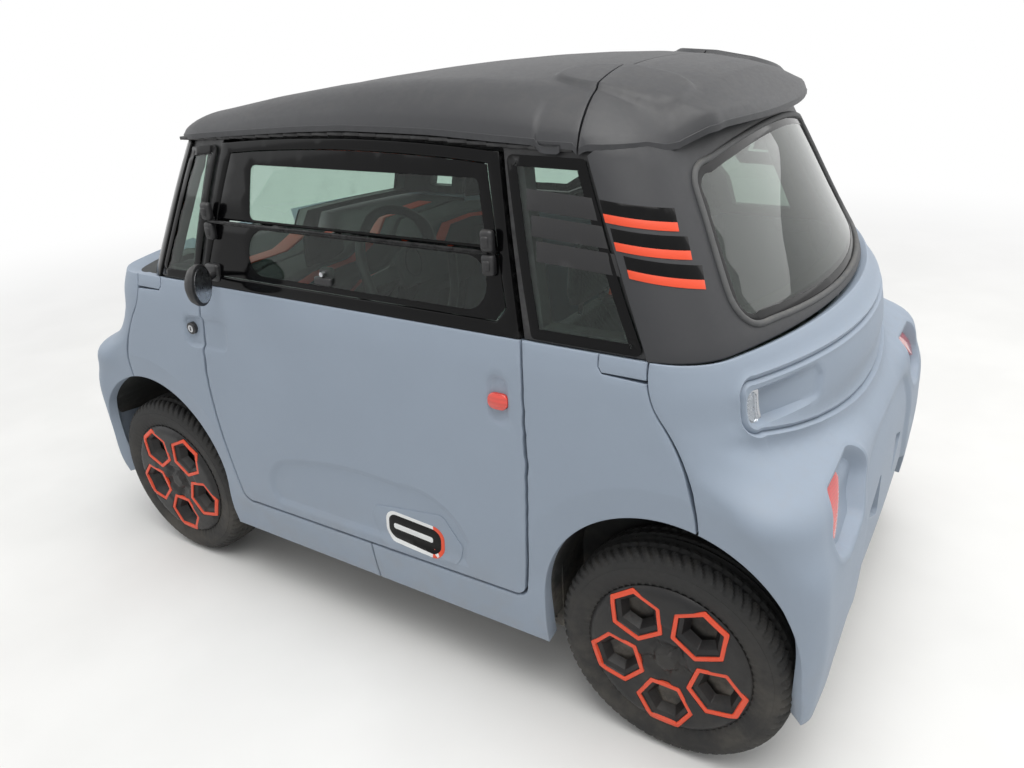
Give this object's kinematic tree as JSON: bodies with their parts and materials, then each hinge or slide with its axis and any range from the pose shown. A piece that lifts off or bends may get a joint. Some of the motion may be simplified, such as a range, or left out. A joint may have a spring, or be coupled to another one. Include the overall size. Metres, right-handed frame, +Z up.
{
  "type": "electric microcar",
  "caption": "Short two-seat electric microcar with matte plastic panels, two side doors hinged at opposite ends, a dark roof and small wheels.",
  "frame": {"origin": "centre of the car's footprint on the floor, midway between both bumpers", "axes": "+X to the rear, +Y to the car's right, +Z up"},
  "size_m": [2.411, 1.598, 1.5255],
  "materials": {
    "body_plastic": "matte through-coloured plastic, light blue-grey",
    "roof_plastic": "matte dark grey plastic",
    "black_plastic": "satin black plastic",
    "window_glass": "lightly green tinted glass",
    "tub_plastic": "matte black plastic",
    "chassis_steel": "black coated steel",
    "cast_iron": "cast iron",
    "battery_case": "grey coated case",
    "motor_case": "cast aluminium",
    "dash_plastic": "matte dark grey plastic with orange edges",
    "seat_fabric": "dark woven fabric",
    "clear_lens": "clear lamp lens",
    "red_lens": "red lamp lens",
    "tyre": "tyre rubber",
    "wheel_black": "black cap with orange-red hexagon frames"
  },
  "bodies": {
    "car_body": {"tail_panel": "body_plastic", "nose_panel": "body_plastic", "wing_front_left": "body_plastic", "wing_front_right": "body_plastic", "wing_rear_left": "body_plastic", "wing_rear_right": "body_plastic", "roof_front": "roof_plastic", "roof_rear": "roof_plastic", "windscreen": "window_glass", "rear_window": "window_glass", "quarter_glasses": "window_glass", "posts_front": "black_plastic", "posts_rear": "roof_plastic", "cabin_cell": "black_plastic", "floor_tub": "tub_plastic", "wheel_liners": "tub_plastic", "chassis_frame": "chassis_steel", "front_suspension": "chassis_steel", "rear_axle": "chassis_steel", "battery_block": "battery_case", "motor_block": "motor_case", "dashboard": "dash_plastic", "steering_column": "black_plastic", "seat_cushions": "seat_fabric", "seat_backs": "seat_fabric", "seat_box": "tub_plastic", "front_lamps": "clear_lens", "rear_lamps": "red_lens"},
    "knuckle_left": {"knuckle_left": "cast_iron"},
    "knuckle_right": {"knuckle_right": "cast_iron"},
    "steering_wheel": {"steering_wheel": "black_plastic"},
    "door_left": {"door_left_shell": "body_plastic", "door_left_frame": "black_plastic", "door_left_glass": "window_glass", "door_left_fittings": "black_plastic", "mirror_left": "black_plastic"},
    "door_right": {"door_right_shell": "body_plastic", "door_right_frame": "black_plastic", "door_right_glass": "window_glass", "door_right_fittings": "black_plastic", "mirror_right": "black_plastic"},
    "wheel_front_left": {"tyre_front_left": "tyre", "wheel_front_left": "wheel_black"},
    "wheel_front_right": {"tyre_front_right": "tyre", "wheel_front_right": "wheel_black"},
    "wheel_rear_left": {"tyre_rear_left": "tyre", "wheel_rear_left": "wheel_black"},
    "wheel_rear_right": {"tyre_rear_right": "tyre", "wheel_rear_right": "wheel_black"}
  },
  "joints": [
    {"name": "steer_left", "type": "hinge", "parent": "car_body", "child": "knuckle_left", "pos_m": [-0.865, -0.575, 0.2785], "axis": [0, 0, 1], "range_deg": [-30, 30]},
    {"name": "steer_right", "type": "hinge", "parent": "car_body", "child": "knuckle_right", "pos_m": [-0.865, 0.575, 0.2785], "axis": [0, 0, 1], "range_deg": [-30, 30]},
    {"name": "steering_wheel_turn", "type": "hinge", "parent": "car_body", "child": "steering_wheel", "pos_m": [-0.095, -0.3, 0.985], "axis": [0.891, 0, 0.454], "range_deg": [-420, 420]},
    {"name": "door_left_hinge", "type": "hinge", "parent": "car_body", "child": "door_left", "pos_m": [0.5165, -0.694, 0.5], "axis": [0, 0, 1], "range_deg": [0, 80]},
    {"name": "door_right_hinge", "type": "hinge", "parent": "car_body", "child": "door_right", "pos_m": [-0.5165, 0.694, 0.5], "axis": [0, 0, 1], "range_deg": [0, 80]},
    {"name": "wheel_front_left_roll", "type": "hinge", "parent": "knuckle_left", "child": "wheel_front_left", "pos_m": [-0.865, -0.585, 0.2785], "axis": [0, 1, 0], "continuous": true},
    {"name": "wheel_rear_left_roll", "type": "hinge", "parent": "car_body", "child": "wheel_rear_left", "pos_m": [0.865, -0.585, 0.2785], "axis": [0, 1, 0], "continuous": true},
    {"name": "wheel_front_right_roll", "type": "hinge", "parent": "knuckle_right", "child": "wheel_front_right", "pos_m": [-0.865, 0.585, 0.2785], "axis": [0, 1, 0], "continuous": true},
    {"name": "wheel_rear_right_roll", "type": "hinge", "parent": "car_body", "child": "wheel_rear_right", "pos_m": [0.865, 0.585, 0.2785], "axis": [0, 1, 0], "continuous": true}
  ],
  "couplings": [
    {"joint": "steer_right", "follows": "steer_left", "ratio": 1},
    {"joint": "steering_wheel_turn", "follows": "steer_left", "ratio": 14}
  ]
}
